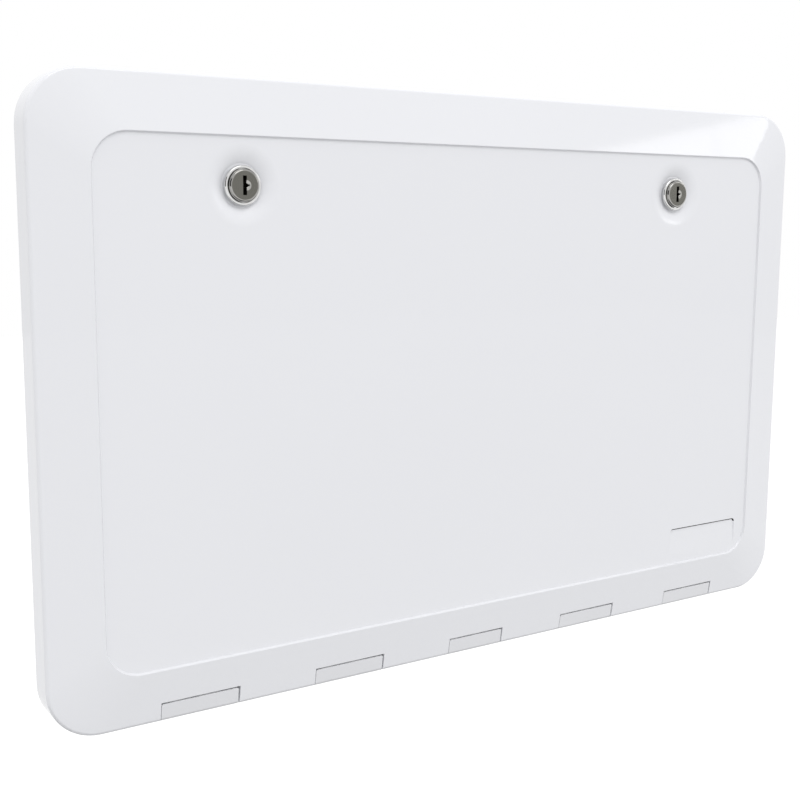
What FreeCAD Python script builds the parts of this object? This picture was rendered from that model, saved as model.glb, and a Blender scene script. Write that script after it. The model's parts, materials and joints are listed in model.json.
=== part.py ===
import FreeCAD, Part
import math
import os

from FreeCAD import Vector

os.makedirs("parts", exist_ok=True)

# Frame: +Z up, the front faces -Y, +X to the right seen from the front, the wall's outer face is Y = 0

# Door leaf, outside sizes
DOOR_W = 610.0
DOOR_H = 385.0
DOOR_R = 32.0
BORDER = 34.0
PANEL_R = 22.0
SKIN = 3.0

# How far each level stands off the wall
RIM_BACK = 1.0
RIM_FRONT = 20.0
BORDER_FRONT = 25.5
STEP = 1.45
STEP_DRAFT = 0.9
EDGE_R = 2.5
STEP_R = 0.4

# Blank shallow recess in the panel's lower right corner, with a narrow groove along its top edge
RECESS_W = 72.0
RECESS_H = 20.0
RECESS_IN = 12.0
RECESS_UP = 8.5
RECESS_DEPTH = 0.9
RECESS_R = 2.5
GROOVE_W = 0.9
GROOVE_DEPTH = 2.1

# Hinge along the bottom edge; knuckles spread as shares of the width
KNUCKLE_AT = (-0.345, -0.17, 0.0, 0.17, 0.345)
KNUCKLE_W = 51.2
MIDDLE_KNUCKLE_W = 45.2
KNUCKLE_H = 11.3
AXIS_UP = 7.0
AXIS_OUT = 16.5
ROD_R = 2.0
ROD_SEAT = 0.02
ROD_RUN = 0.08
ROD_END = 2.0
HINGE_GAP = 0.8
LEFT_GAP = 0.35
RIGHT_GAP = 1.15
KNUCKLE_CORNER = 0.8
LUG_T = 6.0
LUG_R = 5.5
GUSSET_T = 6.0
FOOT_T = 3.5
FOOT_CLEAR = 1.5
WALL_CLEAR = 1.0

# Wall frame
RIM_CLEAR = 5.0
FLANGE_T = 3.0
FLANGE_UP = 20.0
OPENING_IN = 39.0
OPENING_R = 20.0
SLEEVE_T = 3.0
SLEEVE_DEPTH = 28.0
COAMING = 7.5
SCREW_R = 2.25
SCREW_OFF = 8.5
SIDE_SCREW_OFF = 14.0
SIDE_SCREW_AT = 0.195
LAST_SCREW_PAST = 26.0

# Rubber seal pushed over the coaming
SEAL_T = 1.5
SEAL_LEG = 3.5
SEAL_GAP = 0.3
BULB_EDGE = 2.0

# Liner that closes the back of the leaf
LINER_OUT = 12.0
LINER_T = 2.5
LINER_LAP = 6.0
LINER_EDGE_R = 2.0
PLUG_CLEAR = 6.0
PLUG_BACK = 3.0
SEAT_RIB = 2.5

# Cam locks
LOCK_IN = 92.7
LOCK_DOWN = 29.0
DISH_R = 24.5
DISH_FLOOR_R = 13.0
DISH_DEPTH = 3.3
COLLAR_R = 12.0
COLLAR_T = 2.4
COLLAR_EDGE = 0.4
RING_RISE = 1.1
RING_LAND = 0.2
HEAD_R = 9.8
HEAD_T = 1.6
FACE_R = 8.7
FACE_RISE = 2.0
BARREL_R = 9.0
BARREL_FLAT = 8.0
BARREL_FIT = 0.2
PLUG_R = 7.0
PLUG_RUN = 0.05
SLOT_W = 2.3
SLOT_H = 11.4
SLOT_DEPTH = 9.0
NIB_OUT = 2.4
NIB_H = 3.6
LEAD_R = 3.2
LEAD_DEPTH = 1.0
NUT_AF = 24.0
NUT_T = 4.0
CAM_T = 2.5
CAM_HUB_R = 8.5
CAM_TIP_W = 11.0
CAM_CLEAR = 2.5
CAM_RUN = 0.5
TAIL = 7.0
BOLT_R = 2.5
BOLT_AF = 9.0
BOLT_HEAD = 3.5
BOLT_GRIP = 10.0

# Steel keepers the cams turn up behind
KEEPER_W = 26.0
KEEPER_T = 2.0
KEEPER_LEG = 16.0
KEEPER_DROP = 10.5
KEEPER_GAP = 1.0

# Levels and places worked out from the sizes above
BOTTOM = -DOOR_H / 2
PANEL_W = DOOR_W - 2 * BORDER
PANEL_H = DOOR_H - 2 * BORDER
PANEL_OUT = BORDER_FRONT - STEP
AXIS_Z = BOTTOM + AXIS_UP
OPENING_W = DOOR_W - 2 * OPENING_IN
OPENING_H = DOOR_H - 2 * OPENING_IN
SLEEVE_W = OPENING_W + 2 * SLEEVE_T
SLEEVE_H = OPENING_H + 2 * SLEEVE_T
SLEEVE_R = OPENING_R + SLEEVE_T
LINER_FRONT = LINER_OUT + LINER_T
LOCK_Z = PANEL_H / 2 - LOCK_DOWN
LOCKS = (("left", LOCK_IN - PANEL_W / 2), ("right", PANEL_W / 2 - LOCK_IN))
DISH_OUT = PANEL_OUT - DISH_DEPTH
KEEPER_Y = NUT_T - PLUG_BACK + KEEPER_GAP
CAM_Y = KEEPER_Y + KEEPER_T + KEEPER_GAP
CAM_REACH = OPENING_H / 2 - KEEPER_T - CAM_CLEAR - LOCK_Z


def outline_edges(width, height, radius, y, z=0.0):
    """Arcs and lines of a rounded rectangle in the plane Y = y, in order, centred on (0, z)."""
    a = width / 2
    b = height / 2
    bulge = radius * (1 - math.sqrt(0.5))
    arcs = []
    for sx, sz in ((1, 1), (-1, 1), (-1, -1), (1, -1)):
        side = Vector(sx * a, y, z + sz * (b - radius))
        middle = Vector(sx * (a - bulge), y, z + sz * (b - bulge))
        cap = Vector(sx * (a - radius), y, z + sz * b)
        arcs.append((side, middle, cap) if sx == sz else (cap, middle, side))
    edges = []
    for arc, following in zip(arcs, arcs[1:] + arcs[:1]):
        edges.append(Part.Arc(*arc).toShape())
        edges.append(Part.makeLine(arc[2], following[0]))
    return edges


def slab(width, height, radius, out_back, out_front, z=0.0):
    """Rounded-rectangle plate between two stand-offs from the wall."""
    face = Part.Face(Part.Wire(outline_edges(width, height, radius, -out_back, z)))
    return face.extrude(Vector(0, out_back - out_front, 0))


def ring(width, height, radius, wall, out_back, out_front):
    """Rounded-rectangle tube: outside sizes given, wall measured inward."""
    inner = slab(width - 2 * wall, height - 2 * wall, radius - wall, out_back, out_front)
    return slab(width, height, radius, out_back, out_front).cut(inner)


def taper(big, small):
    """Solid between two (width, height, radius, stand-off) outlines: flat sides, ruled corners."""
    low, high = [outline_edges(w, h, r, -out) for w, h, r, out in (big, small)]
    faces = [Part.Face(Part.Wire(low)), Part.Face(Part.Wire(high))]
    for i, (edge, above) in enumerate(zip(low, high)):
        if i % 2:
            start, end = [v.Point for v in edge.Vertexes]
            start_above, end_above = [v.Point for v in above.Vertexes]
            faces.append(Part.Face(Part.makePolygon([start, end, end_above, start_above, start])))
        else:
            faces.append(Part.makeRuledSurface(edge, above))
    shell = Part.makeShell(faces)
    shell.sewShape()
    return Part.makeSolid(shell)


def edges_at(shape, out):
    """Edges that lie wholly at one stand-off from the wall."""
    return [
        e for e in shape.Edges
        if abs(e.BoundBox.YMin + out) < 1e-4 and abs(e.BoundBox.YMax + out) < 1e-4
    ]


def turned(profile, x, z):
    """Solid of revolution about the Y line through (x, z) from (radius, y) points."""
    points = [Vector(x + r, y, z) for r, y in profile]
    face = Part.Face(Part.makePolygon(points + points[:1]))
    return face.revolve(Vector(x, 0, z), Vector(0, 1, 0), 360)


def round_bar(radius, y_from, y_to, x, z):
    """Cylinder along Y."""
    return Part.makeCylinder(radius, y_to - y_from, Vector(x, y_from, z), Vector(0, 1, 0))


def hinge_bar(radius, x_from, x_to):
    """Cylinder along X on the hinge axis."""
    start = Vector(x_from, -AXIS_OUT, AXIS_Z)
    return Part.makeCylinder(radius, x_to - x_from, start, Vector(1, 0, 0))


def side_profile(points, x_from, x_to):
    """Solid along X from (stand-off, height above the bottom edge) points."""
    corners = [Vector(x_from, -out, BOTTOM + up) for out, up in points]
    face = Part.Face(Part.makePolygon(corners + corners[:1]))
    return face.extrude(Vector(x_to - x_from, 0, 0))


def block(x_from, x_to, out_back, out_front, up_from, up_to):
    """Box by X, stand-off and height above the bottom edge."""
    return side_profile(
        ((out_back, up_from), (out_front, up_from), (out_front, up_to), (out_back, up_to)), x_from, x_to
    )


def hexagon(across, y_from, y_to, x, z):
    """Hexagonal prism along Y with a flat at the top."""
    r = across / math.sqrt(3)
    points = [
        Vector(x + r * math.cos(math.radians(60 * i)), y_from, z + r * math.sin(math.radians(60 * i)))
        for i in range(6)
    ]
    face = Part.Face(Part.makePolygon(points + points[:1]))
    return face.extrude(Vector(0, y_to - y_from, 0))


def border_out(up):
    """Stand-off of the sloping border face at a height above the bottom edge."""
    return RIM_FRONT + (BORDER_FRONT - RIM_FRONT) * up / BORDER


def notch_span(x, width):
    """Ends of the leaf's notch around a knuckle: the leaf sits a little to the right on the rod."""
    return x - width / 2 - LEFT_GAP, x + width / 2 + RIGHT_GAP


def save(name, shape):
    """Write one node."""
    shape.exportStep(f"parts/{name}.step")


# Envelope of the leaf: upright rim, rounded front edge, border rising to the panel
rim = slab(DOOR_W, DOOR_H, DOOR_R, RIM_BACK, RIM_FRONT)
slope = taper((DOOR_W, DOOR_H, DOOR_R, RIM_FRONT), (PANEL_W, PANEL_H, PANEL_R, BORDER_FRONT))
envelope = rim.fuse(slope).removeSplitter()
envelope = envelope.makeFillet(EDGE_R, edges_at(envelope, RIM_FRONT))

# Knuckles: places, and the radius from the rod to the top of the flush front face
knuckles = [(share * DOOR_W, MIDDLE_KNUCKLE_W if share == 0 else KNUCKLE_W) for share in KNUCKLE_AT]
knuckle_r = math.hypot(border_out(KNUCKLE_H) - AXIS_OUT, KNUCKLE_H - AXIS_UP)
notch_r = knuckle_r + HINGE_GAP

# Door skin: hollow behind, panel set back by a drafted step with a softened edge
inner_w = DOOR_W - 2 * SKIN
inner_h = DOOR_H - 2 * SKIN
inner_r = DOOR_R - SKIN
hollow = slab(inner_w, inner_h, inner_r, RIM_BACK - 1, RIM_FRONT - SKIN)
hollow = hollow.fuse(
    taper((inner_w, inner_h, inner_r, RIM_FRONT - SKIN), (PANEL_W, PANEL_H, PANEL_R, BORDER_FRONT - SKIN))
)
backing = slab(PANEL_W + 2 * SKIN, PANEL_H + 2 * SKIN, PANEL_R + SKIN, PANEL_OUT - SKIN, BORDER_FRONT)
tray = taper(
    (PANEL_W, PANEL_H, PANEL_R, BORDER_FRONT),
    (PANEL_W - 2 * STEP_DRAFT, PANEL_H - 2 * STEP_DRAFT, PANEL_R - STEP_DRAFT, PANEL_OUT),
)
skin = envelope.cut(hollow.cut(backing)).cut(tray)
skin = skin.makeFillet(STEP_R, edges_at(skin, BORDER_FRONT))

# Rib the liner is bonded to
liner_w = SLEEVE_W + 2 * LINER_LAP
liner_h = SLEEVE_H + 2 * LINER_LAP
liner_r = SLEEVE_R + LINER_LAP
skin = skin.fuse(ring(liner_w, liner_h, liner_r, SEAT_RIB, LINER_FRONT, PANEL_OUT - SKIN + 1))

# Round bosses behind the lock dishes, then the rolled-lip dishes and barrel holes
run = DISH_R - DISH_FLOOR_R
bend = (run ** 2 + DISH_DEPTH ** 2) / (2 * DISH_DEPTH)
half_turn = math.asin(run / bend) / 2
for side, x in LOCKS:
    skin = skin.fuse(round_bar(DISH_R + 1, SKIN - PANEL_OUT - 1, SKIN - DISH_OUT, x, LOCK_Z))
    centre = Vector(x, -DISH_OUT, LOCK_Z)
    floor = centre + Vector(DISH_FLOOR_R, 0, 0)
    lip = Vector(x + DISH_R, -PANEL_OUT, LOCK_Z)
    roll = lip + Vector(-bend * math.sin(half_turn), bend * (1 - math.cos(half_turn)), 0)
    above = Vector(lip.x, -BORDER_FRONT, LOCK_Z)
    centre_above = Vector(x, -BORDER_FRONT, LOCK_Z)
    edges = [
        Part.makeLine(centre, floor),
        Part.Arc(floor, roll, lip).toShape(),
        Part.makeLine(lip, above),
        Part.makeLine(above, centre_above),
        Part.makeLine(centre_above, centre),
    ]
    skin = skin.cut(Part.Face(Part.Wire(edges)).revolve(centre, Vector(0, 1, 0), 360))
    skin = skin.cut(round_bar(BARREL_R + BARREL_FIT, -BORDER_FRONT, 0, x, LOCK_Z))

# Blank recess: its floor leans from the panel's face at the bottom to full depth at the top, and a groove
# follows the top edge around both corners
recess_up = BORDER + RECESS_UP
recess_top = recess_up + RECESS_H
recess_x = PANEL_W / 2 - RECESS_IN - RECESS_W / 2
recess_z = recess_up + RECESS_H / 2 + BOTTOM
lean = side_profile(
    (
        (PANEL_OUT, recess_up),
        (BORDER_FRONT, recess_up),
        (BORDER_FRONT, recess_top),
        (PANEL_OUT - RECESS_DEPTH, recess_top),
    ),
    -RECESS_W / 2,
    RECESS_W / 2,
)
groove_floor = PANEL_OUT - GROOVE_DEPTH
outline = slab(RECESS_W, RECESS_H, RECESS_R, groove_floor, BORDER_FRONT, recess_z)
inside_w = RECESS_W - 2 * GROOVE_W
inside_h = RECESS_H - 2 * GROOVE_W
inside = slab(inside_w, inside_h, RECESS_R - GROOVE_W, groove_floor, BORDER_FRONT, recess_z)
top_edge = block(-RECESS_W / 2, RECESS_W / 2, groove_floor, BORDER_FRONT, recess_top - RECESS_R, recess_top)
recess = outline.common(lean).fuse(outline.cut(inside).common(top_edge))
recess.translate(Vector(recess_x, 0, 0))
skin = skin.cut(recess)

# Hinge side of the leaf: a lug on each side of every notch, the notches, a back edge that rolls past the wall
lugs = []
for x, width in knuckles:
    notch_start, notch_end = notch_span(x, width)
    for start in (notch_start - LUG_T, notch_end):
        web = side_profile(
            (
                (AXIS_OUT - LUG_R, AXIS_UP),
                (AXIS_OUT - LUG_R, SKIN / 2),
                (RIM_FRONT - SKIN / 2, SKIN / 2),
                (border_out(AXIS_UP) - SKIN / 2, AXIS_UP),
                (border_out(BORDER - SEAT_RIB) - SKIN / 2, BORDER - SEAT_RIB),
                (LINER_FRONT + 1, BORDER - SEAT_RIB),
                (LINER_FRONT + 1, AXIS_UP + 2 * LUG_R),
            ),
            start,
            start + LUG_T,
        )
        lugs.append(envelope.common(web.fuse(hinge_bar(LUG_R, start, start + LUG_T))))
skin = skin.fuse(lugs).removeSplitter()
for x, width in knuckles:
    notch_start, notch_end = notch_span(x, width)
    skin = skin.cut(hinge_bar(notch_r, notch_start, notch_end))
    skin = skin.cut(block(notch_start, notch_end, 0, BORDER_FRONT, -1, AXIS_UP))
last_x, last_width = knuckles[-1]
rod_half = notch_span(last_x, last_width)[1] + LUG_T + ROD_END
skin = skin.cut(hinge_bar(ROD_R + ROD_RUN, -rod_half - 1, rod_half + 1))
behind = block(-DOOR_W, DOOR_W, 0, AXIS_OUT, -1, AXIS_UP)
skin = skin.cut(behind.cut(hinge_bar(AXIS_OUT - WALL_CLEAR, -DOOR_W, DOOR_W)))
save("door_skin", skin)

# Liner: flange bonded to the rib, shallow plug with a rounded back edge that enters the frame's throat
plug_w = OPENING_W - 2 * PLUG_CLEAR
plug_h = OPENING_H - 2 * PLUG_CLEAR
plug_corner = OPENING_R - 1
plug = slab(plug_w, plug_h, plug_corner, PLUG_BACK, LINER_FRONT)
plug = plug.makeFillet(LINER_EDGE_R, edges_at(plug, PLUG_BACK))
liner = slab(liner_w, liner_h, liner_r, LINER_OUT, LINER_FRONT).fuse(plug)
liner = liner.cut(
    slab(plug_w - 2 * LINER_T, plug_h - 2 * LINER_T, plug_corner - LINER_T, PLUG_BACK + LINER_T, PANEL_OUT)
)
for side, x in LOCKS:
    liner = liner.cut(round_bar(BARREL_R + BARREL_FIT, -PANEL_OUT, 0, x, LOCK_Z))
save("door_liner", liner)

# Wall frame: flange on the wall, sleeve through it, coaming in front, screw holes between the knuckles
flange_w = DOOR_W - 2 * (SKIN + RIM_CLEAR)
flange_top = DOOR_H / 2 - SKIN - RIM_CLEAR
flange_bottom = BOTTOM + FLANGE_UP
flange_z = (flange_top + flange_bottom) / 2
frame = slab(flange_w, flange_top - flange_bottom, DOOR_R - SKIN - RIM_CLEAR, 0, FLANGE_T, flange_z)
frame = frame.fuse(slab(SLEEVE_W, SLEEVE_H, SLEEVE_R, -SLEEVE_DEPTH, COAMING))
frame = frame.cut(slab(OPENING_W, OPENING_H, OPENING_R, -SLEEVE_DEPTH, COAMING))
screw_x = [
    (x + width / 2 + following - following_width / 2) / 2
    for (x, width), (following, following_width) in zip(knuckles[2:], knuckles[3:])
]
screw_x.append(last_x + last_width / 2 + LAST_SCREW_PAST)
holes = [(x, SLEEVE_H / 2 + SCREW_OFF) for x in screw_x]
holes.append((SLEEVE_W / 2 + SIDE_SCREW_OFF, SIDE_SCREW_AT * DOOR_H))
for x, z in holes:
    for sx, sz in ((1, 1), (-1, 1), (-1, -1), (1, -1)):
        frame = frame.cut(round_bar(SCREW_R, -FLANGE_T, 0, sx * x, sz * z))
save("wall_frame", frame.removeSplitter())

# Seal: channel over the coaming with a bulb towards the leaf, its edges taken off
seal_front = LINER_OUT - SEAL_GAP
seal_wall = SLEEVE_T + 2 * SEAL_T
seal = ring(
    SLEEVE_W + 2 * SEAL_T, SLEEVE_H + 2 * SEAL_T, SLEEVE_R + SEAL_T, seal_wall, COAMING - SEAL_LEG, seal_front
)
seal = seal.makeChamfer(BULB_EDGE, edges_at(seal, seal_front))
seal = seal.cut(ring(SLEEVE_W, SLEEVE_H, SLEEVE_R, SLEEVE_T, 0, COAMING))
save("frame_seal", seal)

# Hinge knuckles: flush front block with its top corners cut off, barrel, cranked gussets, foot on the flange
foot_top = OPENING_IN - SLEEVE_T - SEAL_T - FOOT_CLEAR
foot_front = FLANGE_T + FOOT_T
for number, (x, width) in enumerate(knuckles, 1):
    start = x - width / 2
    end = x + width / 2
    front = block(start, end, AXIS_OUT, BORDER_FRONT, 0, KNUCKLE_H)
    top_z = BOTTOM + KNUCKLE_H
    top_sides = [e for e in front.Edges if e.BoundBox.ZMin > top_z - 1e-4 and e.BoundBox.XLength < 1e-4]
    front = front.makeChamfer(KNUCKLE_CORNER, top_sides)
    knuckle = envelope.common(front.fuse(hinge_bar(KNUCKLE_H - AXIS_UP, start, end)))
    knuckle = knuckle.fuse(block(start, end, FLANGE_T, foot_front, FLANGE_UP, foot_top))
    for gusset_x in (start, x - GUSSET_T / 2, end - GUSSET_T):
        gusset = side_profile(
            (
                (FLANGE_T, AXIS_UP + knuckle_r),
                (FLANGE_T, foot_top),
                (foot_front, foot_top),
                (AXIS_OUT - knuckle_r / 2, AXIS_UP + knuckle_r * 0.86),
                (AXIS_OUT, AXIS_UP),
                (AXIS_OUT - knuckle_r * 0.86, AXIS_UP - knuckle_r / 2),
            ),
            gusset_x,
            gusset_x + GUSSET_T,
        )
        knuckle = knuckle.fuse(gusset)
    knuckle = knuckle.cut(hinge_bar(ROD_R + ROD_SEAT, start, end))
    save(f"hinge_knuckle_{number}", knuckle.removeSplitter())
save("hinge_rod", hinge_bar(ROD_R, -rod_half, rod_half))

# Locks: chrome body with collar and flatted barrel, hexagon nut, turning plug with key slot, cam, bolt
collar_y = -DISH_OUT - COLLAR_T
ring_y = collar_y - RING_RISE
face_y = ring_y - FACE_RISE
seat_y = ring_y + HEAD_T
head_bore = HEAD_R + PLUG_RUN
barrel_end = CAM_Y - CAM_RUN
for side, x in LOCKS:
    body = turned(
        (
            (0, -DISH_OUT),
            (COLLAR_R, -DISH_OUT),
            (COLLAR_R, collar_y + COLLAR_EDGE),
            (COLLAR_R - COLLAR_EDGE, collar_y),
            (head_bore + RING_LAND, ring_y),
            (0, ring_y),
        ),
        x,
        LOCK_Z,
    )
    flats_corner = Vector(x - BARREL_R, -DISH_OUT, LOCK_Z - BARREL_FLAT)
    flats = Part.makeBox(2 * BARREL_R, barrel_end + DISH_OUT, 2 * BARREL_FLAT, flats_corner)
    barrel = round_bar(BARREL_R, -DISH_OUT, barrel_end, x, LOCK_Z).common(flats)
    body = body.fuse(barrel)
    body = body.cut(round_bar(head_bore, ring_y, seat_y, x, LOCK_Z))
    body = body.cut(round_bar(PLUG_R + PLUG_RUN, ring_y, barrel_end, x, LOCK_Z))
    save(f"{side}_lock_body", body)

    nut = hexagon(NUT_AF, -PLUG_BACK, -PLUG_BACK + NUT_T, x, LOCK_Z)
    save(f"{side}_lock_nut", nut.cut(round_bar(BARREL_R, -PLUG_BACK, NUT_T, x, LOCK_Z)))

    tail_corner = Vector(x - TAIL / 2, CAM_Y, LOCK_Z - TAIL / 2)
    plug = turned(
        (
            (0, face_y),
            (FACE_R, face_y),
            (HEAD_R, ring_y),
            (HEAD_R, seat_y - PLUG_RUN),
            (PLUG_R, seat_y - PLUG_RUN),
            (PLUG_R, CAM_Y),
            (0, CAM_Y),
        ),
        x,
        LOCK_Z,
    )
    plug = plug.fuse(Part.makeBox(TAIL, CAM_T, TAIL, tail_corner))
    slot = Part.makeBox(SLOT_W, SLOT_DEPTH, SLOT_H, Vector(x - SLOT_W / 2, face_y, LOCK_Z - SLOT_H / 2))
    nib_points = [
        Vector(x, face_y, LOCK_Z - NIB_H / 2),
        Vector(x + SLOT_W / 2 + NIB_OUT, face_y, LOCK_Z),
        Vector(x, face_y, LOCK_Z + NIB_H / 2),
    ]
    nib = Part.Face(Part.makePolygon(nib_points + nib_points[:1])).extrude(Vector(0, SLOT_DEPTH, 0))
    lead = turned(((0, face_y), (LEAD_R, face_y), (0, face_y + LEAD_DEPTH)), x + SLOT_W / 2, LOCK_Z)
    lead_half = Part.makeBox(2 * LEAD_R, LEAD_DEPTH, 2 * LEAD_R, Vector(x, face_y, LOCK_Z - LEAD_R))
    plug = plug.cut(slot.fuse(nib)).cut(lead.common(lead_half))
    cam_back = CAM_Y + CAM_T
    plug = plug.cut(round_bar(BOLT_R, cam_back - BOLT_GRIP, cam_back, x, LOCK_Z))
    save(f"{side}_lock_plug", plug)

    arm = Part.makePolygon(
        [
            Vector(x, CAM_Y, LOCK_Z - CAM_HUB_R),
            Vector(x - CAM_REACH, CAM_Y, LOCK_Z - CAM_TIP_W / 2),
            Vector(x - CAM_REACH, CAM_Y, LOCK_Z + CAM_TIP_W / 2),
            Vector(x, CAM_Y, LOCK_Z + CAM_HUB_R),
            Vector(x, CAM_Y, LOCK_Z - CAM_HUB_R),
        ]
    )
    cam = Part.Face(arm).extrude(Vector(0, CAM_T, 0)).common(round_bar(CAM_REACH, CAM_Y, cam_back, x, LOCK_Z))
    cam = cam.fuse(round_bar(CAM_HUB_R, CAM_Y, cam_back, x, LOCK_Z))
    save(f"{side}_lock_cam", cam.cut(Part.makeBox(TAIL, CAM_T, TAIL, tail_corner)).removeSplitter())

    bolt = hexagon(BOLT_AF, cam_back, cam_back + BOLT_HEAD, x, LOCK_Z)
    save(f"{side}_cam_bolt", bolt.fuse(round_bar(BOLT_R, cam_back - BOLT_GRIP, cam_back, x, LOCK_Z)))

    # Keeper: strip bent to a right angle, leg under the sleeve's top, hook in front of the turned-up cam
    keeper_corner = Vector(x - KEEPER_W / 2, KEEPER_Y, OPENING_H / 2 - KEEPER_DROP)
    bent = Part.makeBox(KEEPER_W, KEEPER_LEG, KEEPER_DROP, keeper_corner)
    bend_edge = [e for e in edges_at(bent, -KEEPER_Y) if e.BoundBox.ZMin > OPENING_H / 2 - 1e-4]
    bent = bent.makeFillet(1.5 * KEEPER_T, bend_edge)
    inside_corner = keeper_corner + Vector(0, KEEPER_T, -KEEPER_T)
    inside = Part.makeBox(KEEPER_W, KEEPER_LEG, KEEPER_DROP, inside_corner)
    save(f"{side}_keeper", bent.cut(inside))
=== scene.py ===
import json
import math

import bpy
import numpy as np
from mathutils import Matrix, Vector


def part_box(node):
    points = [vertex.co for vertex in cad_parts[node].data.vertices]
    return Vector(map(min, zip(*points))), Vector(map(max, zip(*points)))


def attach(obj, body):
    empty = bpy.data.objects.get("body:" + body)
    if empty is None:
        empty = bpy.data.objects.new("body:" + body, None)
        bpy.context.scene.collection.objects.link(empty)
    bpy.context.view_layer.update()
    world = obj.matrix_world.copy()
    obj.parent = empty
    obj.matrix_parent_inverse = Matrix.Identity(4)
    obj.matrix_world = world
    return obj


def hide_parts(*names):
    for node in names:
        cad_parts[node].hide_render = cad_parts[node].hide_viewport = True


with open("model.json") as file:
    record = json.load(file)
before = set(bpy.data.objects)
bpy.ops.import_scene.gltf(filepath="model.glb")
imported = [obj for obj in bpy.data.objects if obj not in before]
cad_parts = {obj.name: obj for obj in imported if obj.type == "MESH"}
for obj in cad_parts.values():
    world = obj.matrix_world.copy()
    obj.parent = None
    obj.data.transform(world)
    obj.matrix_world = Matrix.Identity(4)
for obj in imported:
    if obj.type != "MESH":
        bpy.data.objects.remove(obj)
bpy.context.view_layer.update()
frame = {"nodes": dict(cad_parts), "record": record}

# Wall frame: one white ABS moulding, a flange screwed to the vehicle's wall, a sleeve through the wall and
# a coaming around the opening. Its faces have the fine matt skin of a spark-finished mould.
MM = 1e-3
WELD = 1e-6
ROUNDED_STEPS = 2
MOULDED_CREASE = 35


def surface(piece, places, faces, crease, edge=0.0):
    """A smooth-shaded object from arrays of places and faces. Places equal to a micron become one, which
    closes seams and poles. Edges that turn by more than the crease angle, in degrees, stay sharp, and an edge
    width rounds them off."""
    grid, index = np.unique(np.round(places / WELD).astype(np.int64), axis=0, return_inverse=True)
    corners = [list(dict.fromkeys(face)) for face in index.ravel()[faces].tolist()]
    mesh = bpy.data.meshes.new(piece)
    mesh.from_pydata((grid * WELD).tolist(), [], [face for face in corners if len(face) > 2])
    mesh.shade_smooth()
    mesh.set_sharp_from_angle(angle=math.radians(crease))
    made = bpy.data.objects.new(piece, mesh)
    bpy.context.scene.collection.objects.link(made)
    if edge:
        rounding = made.modifiers.new("rounded edges", "BEVEL")
        rounding.width = edge
        rounding.segments = ROUNDED_STEPS
        rounding.limit_method = "ANGLE"
        rounding.angle_limit = math.radians(crease)
        rounding.use_clamp_overlap = False
    flat_first = made.modifiers.new("flat faces lead", "WEIGHTED_NORMAL")
    flat_first.keep_sharp = True
    return made


def places_of(mesh):
    """A mesh's places as an array with one row each."""
    places = np.empty(len(mesh.vertices) * 3)
    mesh.vertices.foreach_get("co", places)
    return places.reshape(-1, 3)


def welded(node, piece, crease, edge=0.0):
    """A copy of a node's loose triangles, joined into one surface."""
    mesh = frame["nodes"][node].data
    corners = np.empty(len(mesh.loops), np.int32)
    mesh.loops.foreach_get("vertex_index", corners)
    return surface(piece, places_of(mesh), corners.reshape(-1, 3), crease, edge)


def dressed(piece, finish, body, slot, *nodes):
    """Give a finished piece its material, the body it rides on and the nodes that it stands for. The slot
    argument is not used."""
    piece.data.materials.append(finish)
    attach(piece, body)
    if nodes:
        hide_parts(*nodes)


def feed(link, socket, value):
    """Set an input socket to a constant, or link another node's output to it."""
    if isinstance(value, bpy.types.NodeSocket):
        link(value, socket)
    else:
        socket.default_value = value


NOISE_LOW, NOISE_HIGH = 0.3, 0.7


def spread(nodes, link, value, low, high):
    """The middle of a noise value spread over low to high, which are numbers or sockets."""
    node = nodes.new("ShaderNodeMapRange")
    bounds = {"Value": value, "From Min": NOISE_LOW, "From Max": NOISE_HIGH, "To Min": low, "To Max": high}
    for label, bound in bounds.items():
        feed(link, node.inputs[label], bound)
    return node.outputs["Result"]


def noise(nodes, link, vector, scale, detail):
    """Plain noise over a vector socket; the scale is a number or a socket."""
    node = nodes.new("ShaderNodeTexNoise")
    for label, value in (("Vector", vector), ("Scale", scale), ("Detail", detail)):
        feed(link, node.inputs[label], value)
    return node.outputs["Fac"]


MIX_SOCKETS = {"FLOAT": (2, 3, 0), "RGBA": (6, 7, 2)}


def mixed(nodes, link, kind, factor, first, second):
    """A blend from first to second, which are FLOAT numbers or RGBA colours, as constants or sockets."""
    node = nodes.new("ShaderNodeMix")
    node.data_type = kind
    first_socket, second_socket, result = MIX_SOCKETS[kind]
    link(factor, node.inputs["Factor"])
    feed(link, node.inputs[first_socket], first)
    feed(link, node.inputs[second_socket], second)
    return node.outputs[result]


FLOAT, COLOUR, VECTOR = "NodeSocketFloat", "NodeSocketColor", "NodeSocketVector"


def node_group(name, inputs, outputs):
    """An empty shader node group with named sockets, as (group, nodes, link, group input, group output)."""
    group = bpy.data.node_groups.new(name, "ShaderNodeTree")
    for way, sockets in (("INPUT", inputs), ("OUTPUT", outputs)):
        for label, kind in sockets.items():
            group.interface.new_socket(name=label, in_out=way, socket_type=kind)
    inside = group.nodes.new("NodeGroupInput")
    outside = group.nodes.new("NodeGroupOutput")
    return group, group.nodes, group.links.new, inside, outside


SKIN_OUTPUTS = {"Colour": COLOUR, "Roughness": FLOAT, "Height": FLOAT}
FLOW_SCALE, FLOW_DETAIL = 3.5, 2
RIPPLE_DETAIL, GRAIN_DETAIL = 1, 3


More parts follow.
